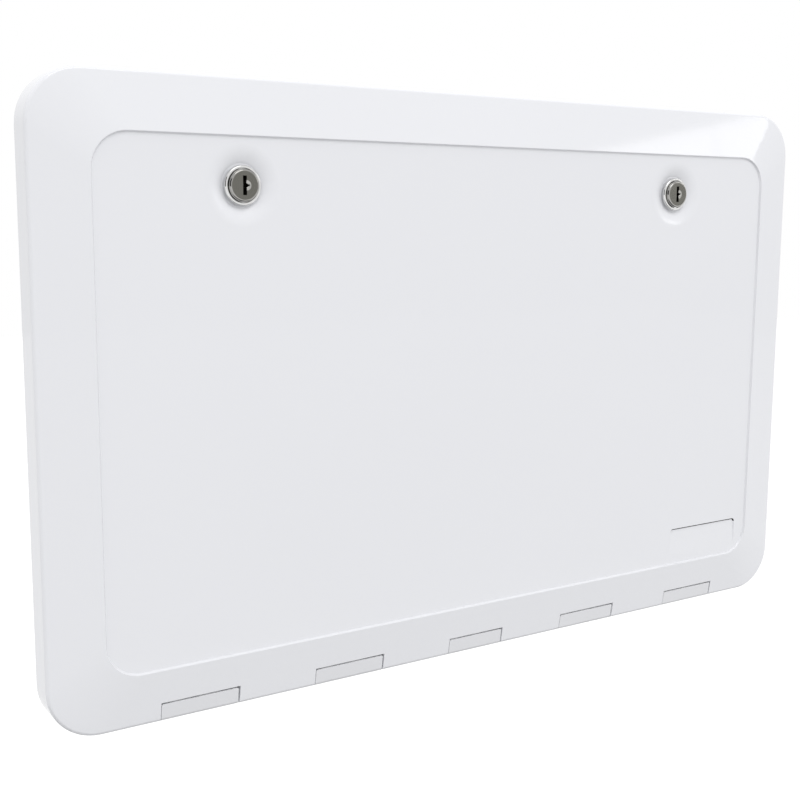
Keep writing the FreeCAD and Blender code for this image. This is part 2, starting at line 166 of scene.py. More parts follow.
def moulded_skin_group():
    """Skin of a moulded piece: slow flow tone between two colours, and a fine ripple or grain that gives the
    height and a slight change of gloss."""
    group, nodes, link, inside, outside = node_group(
        "moulded skin",
        {"Colour": COLOUR, "Flow colour": COLOUR, "Ripple scale": FLOAT, "Grain scale": FLOAT,
         "Grain share": FLOAT, "Gloss low": FLOAT, "Gloss high": FLOAT}, SKIN_OUTPUTS)
    given = inside.outputs
    place = nodes.new("ShaderNodeTexCoord").outputs["Object"]
    flow = spread(nodes, link, noise(nodes, link, place, FLOW_SCALE, FLOW_DETAIL), 0.0, 1.0)
    ripple = noise(nodes, link, place, given["Ripple scale"], RIPPLE_DETAIL)
    grain = noise(nodes, link, place, given["Grain scale"], GRAIN_DETAIL)
    tone = mixed(nodes, link, "RGBA", flow, given["Colour"], given["Flow colour"])
    gloss = spread(nodes, link, grain, given["Gloss low"], given["Gloss high"])
    height = mixed(nodes, link, "FLOAT", given["Grain share"], ripple, grain)
    link(tone, outside.inputs["Colour"])
    link(gloss, outside.inputs["Roughness"])
    link(height, outside.inputs["Height"])
    return group


moulded_skin = moulded_skin_group()


def material_with(name, group, values, relief):
    """A material whose shader takes colour, roughness and bump from a shared group with its own values.
    relief is the bump's distance in metres; returns the material, its shader and its group node."""
    material = bpy.data.materials.new(name)
    material.use_nodes = True
    nodes, link = material.node_tree.nodes, material.node_tree.links.new
    shader = nodes["Principled BSDF"]
    skin = nodes.new("ShaderNodeGroup")
    skin.node_tree = group
    for label, value in values.items():
        skin.inputs[label].default_value = value
    bump = nodes.new("ShaderNodeBump")
    bump.inputs["Strength"].default_value = 1.0
    bump.inputs["Distance"].default_value = relief
    link(skin.outputs["Height"], bump.inputs["Height"])
    link(skin.outputs["Colour"], shader.inputs["Base Color"])
    link(skin.outputs["Roughness"], shader.inputs["Roughness"])
    link(bump.outputs["Normal"], shader.inputs["Normal"])
    return material, shader, skin


frame_abs, _, _ = material_with(
    "matt white ABS", moulded_skin,
    {"Colour": (0.74, 0.745, 0.75, 1), "Flow colour": (0.72, 0.725, 0.735, 1), "Ripple scale": 240,
     "Grain scale": 2600, "Grain share": 0.8, "Gloss low": 0.38, "Gloss high": 0.52}, relief=6e-5)
wall_frame = welded("wall_frame", "frame_moulding", MOULDED_CREASE)
dressed(wall_frame, frame_abs, "frame", "frame_abs", "wall_frame")

# Frame screws: zinc-plated pan heads with a cross recess, one in each hole of the flange. They hold the frame
# to the wall and are hidden behind the closed leaf.
FLANGE_FRONT = -3.0 * MM
SCREW_R, SCREW_H, SCREW_LONG = 3.9 * MM, 2.3 * MM, 13.0 * MM
SCREW_SINK = 0.05 * MM
SCREW_LINES = 29
SCREW_CREASE = 50
SHANK_SHARE, SHANK_POINT = 0.5, 0.75
CROSS_HALF, CROSS_REACH, CROSS_RAMP, CROSS_DEPTH = 0.17, 0.58, 0.08, 0.55
CROSS_TURN = 2.4
RIGHT, INWARD, UP = (1, 0, 0), (0, 1, 0), (0, 0, 1)
CORNER_SIGNS = np.array([(1, 1), (-1, 1), (-1, -1), (1, -1)])


def grid_faces(rows, columns, closed):
    """Quads of a grid of rows by columns; closed joins the last column to the first."""
    row = np.arange(rows - 1)[:, None]
    column = np.arange(columns if closed else columns - 1)[None, :]
    right = (column + 1) % columns
    corners = (row * columns + column, row * columns + right,
               (row + 1) * columns + right, (row + 1) * columns + column)
    return np.stack(np.broadcast_arrays(*corners), axis=-1).reshape(-1, 4)


def pan_screws(piece, seats, side, up, radius, height, long):
    """Screws on their seats, facing side x up. A square grid (u, v) becomes a disc by
    x = u sqrt(1 - v v / 2), z = v sqrt(1 - u u / 2); the dome is sqrt(1 - r^4) high, less a cross-shaped
    recess with ramped walls. Smaller copies of the disc's rim give the shank and its point. Each screw is
    turned by a different angle."""
    seats = np.asarray(seats)[:, None, :]
    side, up = np.array(side, float), np.array(up, float)
    u, v = np.meshgrid(np.linspace(-1, 1, SCREW_LINES), np.linspace(-1, 1, SCREW_LINES))
    x, z = (u * np.sqrt(1 - v * v / 2)).ravel(), (v * np.sqrt(1 - u * u / 2)).ravel()
    near, far = np.minimum(abs(x), abs(z)), np.maximum(abs(x), abs(z))
    cross = np.clip((CROSS_HALF - near) / CROSS_RAMP, 0, 1)
    cross = cross * np.clip((CROSS_REACH - far) / CROSS_RAMP, 0, 1)
    dome = np.sqrt(np.clip(1 - (x * x + z * z) ** 2, 0, 1)) - CROSS_DEPTH * cross
    order = np.arange(SCREW_LINES ** 2).reshape(SCREW_LINES, SCREW_LINES)
    rim = np.concatenate([order[0, :-1], order[:-1, -1], order[-1, :0:-1], order[:0:-1, 0]])
    wide = np.array([0, SHANK_SHARE, SHANK_SHARE, 1])
    deep = np.array([-long, -SHANK_POINT * long, -SCREW_SINK, -SCREW_SINK])
    x, z = (np.concatenate([way, np.outer(wide, way[rim]).ravel()]) for way in (x, z))
    rise = np.concatenate([height * dome - SCREW_SINK, np.repeat(deep, len(rim))])
    turn = CROSS_TURN * np.arange(len(seats))[:, None]
    across = x * np.cos(turn) - z * np.sin(turn)
    along = x * np.sin(turn) + z * np.cos(turn)
    places = seats + radius * (across[..., None] * side + along[..., None] * up)
    places = places + rise[:, None] * np.cross(side, up)
    shank_faces = grid_faces(len(wide), len(rim), True) + SCREW_LINES ** 2
    faces = np.concatenate([grid_faces(SCREW_LINES, SCREW_LINES, False), shank_faces])
    faces = faces + (np.arange(len(seats)) * places.shape[1])[:, None, None]
    return surface(piece, places.reshape(-1, 3), faces.reshape(-1, 4), SCREW_CREASE)


STREAK_DETAIL = 3


def worked_metal_group():
    """Worked metal: noise over a vector drawn out by the streak scales gives fine streaks, which change
    colour, gloss and height together."""
    group, nodes, link, inside, outside = node_group(
        "worked metal",
        {"Vector": VECTOR, "Streaks": VECTOR, "Colour": COLOUR, "Streak colour": COLOUR,
         "Gloss low": FLOAT, "Gloss high": FLOAT}, SKIN_OUTPUTS)
    given = inside.outputs
    drawn = nodes.new("ShaderNodeVectorMath")
    drawn.operation = "MULTIPLY"
    link(given["Vector"], drawn.inputs[0])
    link(given["Streaks"], drawn.inputs[1])
    streak = noise(nodes, link, drawn.outputs["Vector"], 1.0, STREAK_DETAIL)
    share = spread(nodes, link, streak, 0.0, 1.0)
    tone = mixed(nodes, link, "RGBA", share, given["Colour"], given["Streak colour"])
    gloss = spread(nodes, link, streak, given["Gloss low"], given["Gloss high"])
    link(tone, outside.inputs["Colour"])
    link(gloss, outside.inputs["Roughness"])
    link(streak, outside.inputs["Height"])
    return group


worked_metal = worked_metal_group()


def metal_with(name, streaks, colour, streak_colour, gloss, relief):
    """A metal on Object coordinates; gloss is its (low, high) roughness. Returns the material and its group
    node."""
    material, shader, worked = material_with(
        name, worked_metal,
        {"Streaks": streaks, "Colour": (*colour, 1), "Streak colour": (*streak_colour, 1),
         "Gloss low": gloss[0], "Gloss high": gloss[1]}, relief)
    shader.inputs["Metallic"].default_value = 1.0
    nodes, link = material.node_tree.nodes, material.node_tree.links.new
    link(nodes.new("ShaderNodeTexCoord").outputs["Object"], worked.inputs["Vector"])
    return material, worked


zinc, _ = metal_with("zinc plate", streaks=(500, 900, 1100), colour=(0.60, 0.61, 0.62),
                     streak_colour=(0.51, 0.52, 0.52), gloss=(0.22, 0.38), relief=6e-6)
patterns = np.array([(mount["dims"]["spacing_x_mm"], mount["dims"]["spacing_y_mm"])
                     for mount in frame["record"]["mounts"] if mount["kind"] == "bolt_pattern"]) * MM / 2
holes = (patterns[:, None, :] * CORNER_SIGNS).reshape(-1, 2)
seats = np.stack([holes[:, 0], np.full(len(holes), FLANGE_FRONT), holes[:, 1]], axis=1)
frame_screws = pan_screws("frame_screws", seats, RIGHT, UP, SCREW_R, SCREW_H, SCREW_LONG)
dressed(frame_screws, zinc, "frame", "plated_steel")

# Seal: a black rubber extrusion, a channel pushed over the coaming with a bulb that the leaf's inner panel
# presses on. Its skin is matt, with a little bloom.
SEAL_IN, SEAL_CORNER = 3.0 * MM, 24.5 * MM
LEG_HALF, LEG_BACK, LEG_FRONT = 3.0 * MM, -4.0 * MM, -7.0 * MM
GRIP_HALF, GRIP_END = 1.5 * MM, -7.5 * MM
WAIST_HALF, WAIST = 2.3 * MM, -7.9 * MM
BULB_HALF, BULB_MIDDLE, BULB_H = 3.0 * MM, -9.4 * MM, 2.3 * MM
BULB_FROM, BULB_TO, BULB_POINTS = 215, -35, 21
SEAL_TURN = 14
SEAL_CREASE = 50


def carried_round(piece, profile, half_width, half_height, corner, crease):
    """A closed profile of (offset outward, y) pairs, running along +y on its outer side, carried round a
    rounded rectangle in the wall's plane: a place is its corner's centre plus (corner radius + offset) times
    the outward way (cos t, sin t)."""
    quarter = np.arange(4)[:, None]
    turn = (np.radians(90) * (quarter + np.linspace(0, 1, SEAL_TURN)[None, :])).ravel()
    centre_x = np.repeat(CORNER_SIGNS[:, 0] * (half_width - corner), SEAL_TURN)
    centre_z = np.repeat(CORNER_SIGNS[:, 1] * (half_height - corner), SEAL_TURN)
    reach = corner + profile[:, 0]
    places = np.stack([centre_x[:, None] + np.cos(turn)[:, None] * reach,
                       np.broadcast_to(profile[:, 1], (len(turn), len(profile))),
                       centre_z[:, None] + np.sin(turn)[:, None] * reach], axis=-1)
    faces = grid_faces(len(turn) + 1, len(profile), True) % (len(turn) * len(profile))
    return surface(piece, places.reshape(-1, 3), faces, crease)


sweep = np.radians(np.linspace(BULB_FROM, BULB_TO, BULB_POINTS))
bulb = np.stack([BULB_HALF * np.cos(sweep), BULB_MIDDLE - BULB_H * np.sin(sweep)], axis=1)
leg = np.array([(WAIST_HALF, WAIST), (LEG_HALF, LEG_FRONT), (LEG_HALF, LEG_BACK), (GRIP_HALF, LEG_BACK),
                (GRIP_HALF, GRIP_END)])
profile = np.concatenate([bulb, leg, (leg * (-1, 1))[::-1]])
seal_rubber, _, _ = material_with(
    "black rubber", moulded_skin,
    {"Colour": (0.018, 0.018, 0.019, 1), "Flow colour": (0.03, 0.03, 0.031, 1), "Ripple scale": 500,
     "Grain scale": 3500, "Grain share": 0.6, "Gloss low": 0.55, "Gloss high": 0.72}, relief=5e-5)
seal_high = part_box("frame_seal")[1]
seal = carried_round("seal_extrusion", profile, seal_high[0] - SEAL_IN, seal_high[2] - SEAL_IN,
                     SEAL_CORNER - SEAL_IN, SEAL_CREASE)
dressed(seal, seal_rubber, "frame", "seal_rubber", "frame_seal")

# Leaf: the white gloss ABS moulding that shows from outside, with its rim, sloping border, set-back panel,
# lock dishes and bare recess. It turns on the hinge rod. The groove at the recess's top is painted near-black
# as painted shade, and the dishes are a little less polished than the rest.
GROOVE_LOW, GROOVE_HIGH = (186 * MM, -24.0 * MM, -134.5 * MM), (260 * MM, -21.5 * MM, -129 * MM)
GROOVE_FLOOR, GROOVE_WALL = -22.6 * MM, 0.7
# Painted shade: a near-black colour for the groove at the recess's top, where a shadow line falls.
GROOVE_PAINTED_SHADE = (0.05, 0.048, 0.045, 1)
DISH_GLOSS, DISH_LIP_R, DISH_SOFT_R = 0.26, 24.4 * MM, 19.0 * MM
LEAF_CREASE = 28
SIDES = ("left", "right")


def attribute(nodes, name, output):
    """One output of a mesh attribute's node."""
    node = nodes.new("ShaderNodeAttribute")
    node.attribute_name = name
    return node.outputs[output]


door_abs, shader, skin = material_with(
    "gloss white ABS", moulded_skin,
    {"Colour": (0.79, 0.797, 0.827, 1), "Flow colour": (0.78, 0.787, 0.817, 1), "Ripple scale": 110,
     "Grain scale": 1800, "Grain share": 0.15, "Gloss low": 0.045, "Gloss high": 0.07}, relief=4e-6)
nodes, link = door_abs.node_tree.nodes, door_abs.node_tree.links.new
# The groove's faces take the painted shade colour in place of the skin's colour.
groove_shade_mask = attribute(nodes, "held_dust", "Fac")
link(mixed(nodes, link, "RGBA", groove_shade_mask, skin.outputs["Colour"], GROOVE_PAINTED_SHADE), shader.inputs["Base Color"])
dished = attribute(nodes, "in_dish", "Fac")
gloss = mixed(nodes, link, "FLOAT", dished, skin.outputs["Roughness"], DISH_GLOSS)
link(gloss, shader.inputs["Roughness"])

leaf = welded("door_skin", "leaf_moulding", LEAF_CREASE)
centres, facing = np.empty((2, len(leaf.data.polygons) * 3))
leaf.data.polygons.foreach_get("center", centres)
leaf.data.polygons.foreach_get("normal", facing)
centres = centres.reshape(-1, 3)
# Faces of the groove that get the painted shade.
in_groove = np.all((centres > GROOVE_LOW) & (centres < GROOVE_HIGH), axis=1)
in_groove &= (centres[:, 1] > GROOVE_FLOOR) | (abs(facing[1::3]) < GROOVE_WALL)
held_dust = leaf.data.attributes.new("held_dust", "FLOAT", "FACE")
held_dust.data.foreach_set("value", in_groove.astype(float))
lock_axis = {side: np.mean(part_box(f"{side}_lock_body"), axis=0) * (1, 0, 1) for side in SIDES}
places = places_of(leaf.data)
from_axis = np.min([np.hypot(*(places - axis)[:, [0, 2]].T) for axis in lock_axis.values()], axis=0)
in_dish = leaf.data.attributes.new("in_dish", "FLOAT", "POINT")
in_dish.data.foreach_set("value", np.clip((DISH_LIP_R - from_axis) / (DISH_LIP_R - DISH_SOFT_R), 0, 1))
dressed(leaf, door_abs, "door", "door_abs", "door_skin")

# Hinge knuckles: five flush blocks of the same white ABS, let into the leaf's lower border. Each has a barrel
# for the rod and a foot that two screws hold to the flange.
FOOT_FRONT = -6.5 * MM
FOOT_MIDDLE, FOOT_GUSSET = 6.5 * MM, 3.0 * MM
FOOT_SCREW_R, FOOT_SCREW_H = 3.2 * MM, 1.9 * MM
knuckle_abs, _, _ = material_with(
    "gloss white knuckle ABS", moulded_skin,
    {"Colour": (0.755, 0.76, 0.785, 1), "Flow colour": (0.74, 0.745, 0.77, 1), "Ripple scale": 160,
     "Grain scale": 1800, "Grain share": 0.2, "Gloss low": 0.1, "Gloss high": 0.16}, relief=6e-6)
KNUCKLES = sorted(name for name in frame["nodes"] if name.startswith("hinge_knuckle"))
for node in KNUCKLES:
    knuckle = welded(node, node.replace("hinge_", "") + "_moulding", MOULDED_CREASE)
    dressed(knuckle, knuckle_abs, "frame", "knuckle_abs", node)
knuckle_boxes = np.array([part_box(node) for node in KNUCKLES])
middle = knuckle_boxes[:, :, 0].mean(axis=1)
reach = (knuckle_boxes[:, 1, 0] - middle - FOOT_GUSSET) / 2
foot_x = np.concatenate([middle - reach, middle + reach])
foot_z = np.tile(knuckle_boxes[:, 1, 2] - FOOT_MIDDLE, 2)
seats = np.stack([foot_x, np.full(len(foot_x), FOOT_FRONT), foot_z], axis=1)
knuckle_screws = pan_screws("knuckle_screws", seats, RIGHT, UP, FOOT_SCREW_R, FOOT_SCREW_H, SCREW_LONG)
dressed(knuckle_screws, zinc, "frame", "plated_steel")

# Hinge rod: a drawn stainless rod with chamfered ends. It is pushed through all the knuckles and the leaf's
# lugs, and stays in the knuckles while the lugs turn on it.
ROD_CHAMFER = 0.5 * MM
ROD_CREASE = 35
ROUND = 96


def turned(piece, profile, centre, way, side, crease, shape=None):
    """A surface of revolution from (radius, distance along way) pairs: place = centre + distance way
    + radius (cos t side + sin t way x side). shape(radii, angles) may change the radii, which are rows by
    angles."""
    way, side = np.array(way, float), np.array(side, float)
    up = np.cross(way, side)
    angle = np.linspace(0, 2 * np.pi, ROUND, endpoint=False)
    radii = np.repeat(profile[:, :1], ROUND, axis=1)
    if shape:
        radii = shape(radii, angle)
    round_way = np.cos(angle)[:, None] * side + np.sin(angle)[:, None] * up
    places = np.asarray(centre) + profile[:, 1][:, None, None] * way + radii[..., None] * round_way
    return surface(piece, places.reshape(-1, 3), grid_faces(len(profile), ROUND, True), crease)


rod_box = np.array(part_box("hinge_rod"))
rod_half, rod_r = (rod_box[1] - rod_box[0])[[0, 2]] / 2
profile = np.array([(0, -rod_half), (rod_r - ROD_CHAMFER, -rod_half), (rod_r, ROD_CHAMFER - rod_half),
                    (rod_r, rod_half - ROD_CHAMFER), (rod_r - ROD_CHAMFER, rod_half), (0, rod_half)])
stainless, _ = metal_with("drawn stainless", streaks=(60, 2500, 2500), colour=(0.55, 0.545, 0.53),
                          streak_colour=(0.44, 0.435, 0.42), gloss=(0.2, 0.34), relief=5e-6)
rod = turned("hinge_rod_drawn", profile, rod_box.mean(axis=0), RIGHT, INWARD, ROD_CREASE)
dressed(rod, stainless, "frame", "stainless", "hinge_rod")

# Inner panel: a white ABS tray with a fine pebbled skin, which closes the leaf from behind. It is bonded to
# the leaf's rib and presses on the seal.
liner_abs, _, _ = material_with(
    "pebbled white ABS", moulded_skin,
    {"Colour": (0.75, 0.755, 0.765, 1), "Flow colour": (0.735, 0.74, 0.75, 1), "Ripple scale": 700,
     "Grain scale": 2200, "Grain share": 0.35, "Gloss low": 0.36, "Gloss high": 0.5}, relief=1.2e-4)
liner = welded("door_liner", "liner_tray", MOULDED_CREASE)
dressed(liner, liner_abs, "door", "liner_abs", "door_liner")

# Lock bodies: zinc castings plated with polished chrome, a rolled ring around the plug, a collar that sits in
# the dish on a narrower neck, and a barrel with two flats and a thread for the nut behind the panel.
RING_CREST, RING_EDGE, RING_ROLL = 10.5 * MM, 11.1 * MM, 0.6 * MM
COLLAR_RISE, COLLAR_H, COLLAR_EDGE = 1.4 * MM, 3.5 * MM, 2.1 * MM
NECK_R = 9.8 * MM
HEAD_BORE, HEAD_SEAT = 10.05 * MM, 1.6 * MM
BARREL_R, BARREL_FLAT, BARREL_CHAMFER = 9.0 * MM, 8.0 * MM, 0.7 * MM
PLUG_BORE = 7.05 * MM
THREAD_PITCH, THREAD_DEPTH, THREAD_FROM = 1.5 * MM, 0.5 * MM, -5.0 * MM
THREAD_STEP = 0.125
ROLL_POINTS, DOME_POINTS = 7, 13
LEAST_SINE = 1e-6
LOCK_CREASE = 40


def flats_and_thread(y, back):
    """A shape for turned() over rows at y: on the barrel, behind back,
    r = min(R - depth |2 frac(y / pitch + t / 2 pi) - 1|, flat / |sin t|)."""
    def shape(radii, angle):
        turns = (y[:, None] / THREAD_PITCH + angle / (2 * np.pi)) % 1
        threaded = ((y >= THREAD_FROM) & (radii[:, 0] == BARREL_R))[:, None]
        barrel = ((y > back) & (radii[:, 0] > PLUG_BORE))[:, None]
        flat = BARREL_FLAT / np.maximum(abs(np.sin(angle)), LEAST_SINE)
        radii = np.where(threaded, radii - THREAD_DEPTH * abs(2 * turns - 1), radii)
        return np.where(barrel, np.minimum(radii, flat), radii)
    return shape


chrome, _ = metal_with("polished chrome", streaks=(300, 300, 300), colour=(0.72, 0.72, 0.715),
                       streak_colour=(0.66, 0.66, 0.655), gloss=(0.045, 0.08), relief=1e-6)
roll = np.radians(np.linspace(90, 0, ROLL_POINTS))
dome = np.radians(np.linspace(90, 0, DOME_POINTS))
for side in SIDES:
    low, high = np.array(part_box(f"{side}_lock_body"))
    collar_r = (high[0] - low[0]) / 2
    crest, end = low[1], high[1]
    collar_back = crest + COLLAR_H
    inner = np.stack([RING_CREST - (RING_CREST - HEAD_BORE) * np.sin(roll),
                      crest + RING_ROLL * (1 - np.cos(roll))], axis=1)
    outer = np.stack([RING_EDGE + (collar_r - RING_EDGE) * np.cos(dome),
                      crest + COLLAR_RISE * (1 - np.sin(dome))], axis=1)
    thread_y = np.arange(THREAD_FROM, end - BARREL_CHAMFER, THREAD_STEP * THREAD_PITCH)
    seat = [(PLUG_BORE, crest + HEAD_SEAT)]
    profile = np.concatenate([
        seat, [(HEAD_BORE, crest + HEAD_SEAT)], inner, outer,
        [(collar_r, crest + COLLAR_EDGE), (NECK_R, crest + COLLAR_EDGE), (NECK_R, collar_back),
         (BARREL_R, collar_back)],
        np.stack([np.full(len(thread_y), BARREL_R), thread_y], axis=1),
        [(BARREL_R - BARREL_CHAMFER, end), (PLUG_BORE, end)], seat])
    body = turned(f"{side}_lock_body_chromed", profile, lock_axis[side], INWARD, RIGHT, LOCK_CREASE,
                  flats_and_thread(profile[:, 1], collar_back))
    dressed(body, chrome, "door", "lock_chrome", f"{side}_lock_body")

# Lock nuts and cam bolts: zinc-plated hexagons, chamfered on both faces. The nut clamps the body to the leaf
# and the inner panel; the bolt holds the cam on the end of the plug.
HEX_CHAMFER = 0.94
HEX_SLOPE = math.tan(math.radians(30))
HEX_ROWS = 6
HEX_CREASE = 25
SHANK_R = 2.5 * MM


def hexagonal(across):
    """A shape for turned() that cuts radii to a hexagon with a flat at the top: in degrees,
    r = min(r, across / 2 / cos(t mod 60 - 30))."""
    def shape(radii, angle):
        return np.minimum(radii, across / 2 / np.cos(angle % (np.pi / 3) - np.pi / 6))
    return shape


def chamfered(across, back, front):
    """Profile rows of a hexagon's rim from back to front: a 30 degree cone at each end that the flats cut."""
    start, corner = HEX_CHAMFER * across / 2, across / math.sqrt(3)
    out = np.linspace(start, corner, HEX_ROWS)
    drop = (out - start) * HEX_SLOPE
    rows = [np.stack([out, back + drop], axis=1), np.stack([out, front - drop], axis=1)[::-1]]
    return np.concatenate(rows)


for side in SIDES:
    low, high = np.array(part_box(f"{side}_lock_nut"))
    across = high[2] - low[2]
    bore = [(BARREL_R, low[1])]
    profile = np.concatenate([bore, chamfered(across, low[1], high[1]), [(BARREL_R, high[1])], bore])
    nut = turned(f"{side}_nut_plated", profile, lock_axis[side], INWARD, RIGHT, HEX_CREASE,
                 hexagonal(across))
    dressed(nut, zinc, "door", "plated_steel", f"{side}_lock_nut")
    low, high = np.array(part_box(f"{side}_cam_bolt"))
    across = high[2] - low[2]
    rim = chamfered(across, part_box(f"{side}_lock_cam")[1][1], high[1])
    shank = [(0, low[1]), (SHANK_R, low[1]), (SHANK_R, rim[0, 1])]
    profile = np.concatenate([shank, rim, [(0, high[1])]])
    bolt = turned(f"{side}_bolt_plated", profile, lock_axis[side], INWARD, RIGHT, HEX_CREASE,
                  hexagonal(across))
    dressed(bolt, zinc, f"{side}_lock", "plated_steel", f"{side}_cam_bolt")

# Lock plugs: satin nickel turned in fine rings around the axis, with a rolled bright rim and a key slot. The
# face's dark colour is painted dark reflection, and the slot's lead-in is lighter and glossier than the face.
# They turn in the bodies and carry the cams.
PLUG_EDGE, PLUG_CREASE = 0.2 * MM, 30
RINGS = 5000
SLOT_HALF = 1.15 * MM
LEAD_R, LEAD_DEPTH, LEAD_SPARE = 3.2 * MM, 1.0 * MM, 0.06 * MM
LEAD_IN_COLOUR, LEAD_IN_GLOSS = (0.42, 0.415, 0.395, 1), 0.2
RIM_IN, RIM_OUT, RIM_DEEP = 8.45 * MM, 9.82 * MM, 2.0 * MM
RIM_PROUD, RIM_FOOT = 0.05 * MM, 0.5 * MM
RIM_POINTS, RIM_CREASE = 13, 40


def measured(nodes, link, vector, operation, output, second=(0, 0, 0)):
    """One output of a Vector Math node over a vector socket and a constant vector."""
    node = nodes.new("ShaderNodeVectorMath")
    node.operation = operation
    link(vector, node.inputs[0])
    node.inputs[1].default_value = second
    return node.outputs[output]


def combined(nodes, link, operation, first, second):
    """The result of a Math node over two values or sockets."""
    node = nodes.new("ShaderNodeMath")
    node.operation = operation
    feed(link, node.inputs[0], first)
    feed(link, node.inputs[1], second)
    return node.outputs[0]


# Painted dark reflection: the face's near-black nickel stands in for dark surroundings mirrored in it.
satin, rings = metal_with("satin nickel", streaks=(RINGS, 0, 0), colour=(0.175, 0.172, 0.156),
                          streak_colour=(0.13, 0.127, 0.112), gloss=(0.22, 0.34), relief=3e-6)
nodes, link = satin.node_tree.nodes, satin.node_tree.links.new
from_face = attribute(nodes, "from_face", "Vector")
flat_way = measured(nodes, link, from_face, "MULTIPLY", "Vector", (1, 0, 1))
link(measured(nodes, link, flat_way, "LENGTH", "Value"), rings.inputs["Vector"])
from_lead = measured(nodes, link, flat_way, "SUBTRACT", "Vector", (SLOT_HALF, 0, 0))
from_lead = measured(nodes, link, from_lead, "LENGTH", "Value")
behind = measured(nodes, link, from_face, "DOT_PRODUCT", "Value", INWARD)
cone = combined(nodes, link, "MULTIPLY", from_lead, -LEAD_DEPTH / LEAD_R)
cone = combined(nodes, link, "ADD", cone, LEAD_DEPTH + LEAD_SPARE)
# The lead-in cone keeps a lighter, glossier colour than the painted dark face.
lead_in_mask = combined(nodes, link, "MULTIPLY", combined(nodes, link, "LESS_THAN", behind, cone),
                  combined(nodes, link, "GREATER_THAN", behind, LEAD_SPARE))
shader = nodes["Principled BSDF"]
tone = mixed(nodes, link, "RGBA", lead_in_mask, rings.outputs["Colour"], LEAD_IN_COLOUR)
link(tone, shader.inputs["Base Color"])
gloss = mixed(nodes, link, "FLOAT", lead_in_mask, rings.outputs["Roughness"], LEAD_IN_GLOSS)
link(gloss, shader.inputs["Roughness"])
bright_nickel, _ = metal_with("bright nickel", streaks=(400, 400, 400), colour=(0.38, 0.375, 0.36),
                              streak_colour=(0.33, 0.325, 0.31), gloss=(0.05, 0.1), relief=1e-6)
roll = np.radians(np.linspace(0, 90, RIM_POINTS))
rolled = np.stack([RIM_IN + (RIM_OUT - RIM_IN) * np.sin(roll),
                   (RIM_DEEP + RIM_PROUD) * (1 - np.cos(roll)) - RIM_PROUD], axis=1)
foot = [(RIM_IN, RIM_PROUD)]
profile = np.concatenate([foot, rolled, [(RIM_OUT, RIM_DEEP + RIM_FOOT)], foot])
for side in SIDES:
    plug = welded(f"{side}_lock_plug", f"{side}_plug_turned", PLUG_CREASE, PLUG_EDGE)
    face = lock_axis[side] + (0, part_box(f"{side}_lock_plug")[0][1], 0)
    offsets = plug.data.attributes.new("from_face", "FLOAT_VECTOR", "POINT")
    offsets.data.foreach_set("vector", (places_of(plug.data) - face).ravel())
    dressed(plug, satin, f"{side}_lock", "plug_satin", f"{side}_lock_plug")
    rim = turned(f"{side}_plug_rim", profile, face, INWARD, RIGHT, RIM_CREASE)
    dressed(rim, bright_nickel, f"{side}_lock", "plug_satin")

# Cams and keepers: pressed zinc-plated steel. Each cam sits on a plug's square tail; each keeper is held
# under the top of the sleeve by two screws.
PRESSED_EDGE, PRESSED_CREASE = 0.3 * MM, 40
KEEPER_T = 2.0 * MM
KEEPER_SCREW_X, KEEPER_SCREW_BACK = 7.0 * MM, 10.5 * MM
KEEPER_SCREW_R, KEEPER_SCREW_H, KEEPER_SCREW_LONG = 3.1 * MM, 1.7 * MM, 6.0 * MM
for side in SIDES:
    cam = welded(f"{side}_lock_cam", f"{side}_cam_pressed", PRESSED_CREASE)
    dressed(cam, zinc, f"{side}_lock", "plated_steel", f"{side}_lock_cam")
    keeper = welded(f"{side}_keeper", f"{side}_keeper_bent", PRESSED_CREASE, PRESSED_EDGE)
    dressed(keeper, zinc, "frame", "plated_steel", f"{side}_keeper")
    low, high = np.array(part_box(f"{side}_keeper"))
    middle = (low[0] + high[0]) / 2
    seats = [(middle + offset, low[1] + KEEPER_SCREW_BACK, high[2] - KEEPER_T)
             for offset in (-KEEPER_SCREW_X, KEEPER_SCREW_X)]
    screws = pan_screws(f"{side}_keeper_screws", seats, INWARD, RIGHT, KEEPER_SCREW_R, KEEPER_SCREW_H,
                        KEEPER_SCREW_LONG)
    dressed(screws, zinc, "frame", "plated_steel")

# Stage: a floor and a sky that look white, a softbox above the front, a black flag on the left, and to the
# right a two-pane window whose upper edge draws the bright wedge on the top border. Only reflections see the
# flag and the dark patch of floor below the door.
WHITE, MATT = (1, 1, 1, 1), 0.9
FLOOR_Z, FLOOR_HALF = -0.75, 8.0
FLOOR_GREY, FLOOR_LIFT = 0.47, 0.56
FLOOR_PATCH, FLOOR_FADE = (0.55, 1, 0), (0.45, 0.65)
SKY = 1.11
FLAG_FAR, FLAG_SPARE = 1.75, 0.03
FLAG_AZIMUTH, FLAG_HEIGHT, FLAG_LINES = (-93, -38), (-4, 34), 12
FELT_BLACK = (0.01, 0.01, 0.01, 1)
SOFTBOX_PLACE, SOFTBOX_AIM = (-0.1, -1.5, 2.1), (0, 0, 0)
SOFTBOX_WIDE, SOFTBOX_HIGH, SOFTBOX_RADIANCE = 1.6, 1.0, 2.5
WINDOW_AIM, WINDOW_FAR = (0.2, -0.022, 0.178), 6.0
WINDOW_LOW, WINDOW_TOP = 6.0, 16.45
WINDOW_RADIANCE = 2.3
LEFT_PANE, RIGHT_PANE = (43.0, 49.55), (49.9, 57.0)


def plain_sheet(name, places, faces, material):
    """A stage sheet from its corners and faces, with an empty material; returns the sheet, the material's
    nodes and its link function."""
    mesh = bpy.data.meshes.new(name)
    mesh.from_pydata(places, [], faces)
    sheet = bpy.data.objects.new(name, mesh)
    bpy.context.scene.collection.objects.link(sheet)
    paint = bpy.data.materials.new(material)
    paint.use_nodes = True
    mesh.materials.append(paint)
    return sheet, paint.node_tree.nodes, paint.node_tree.links.new


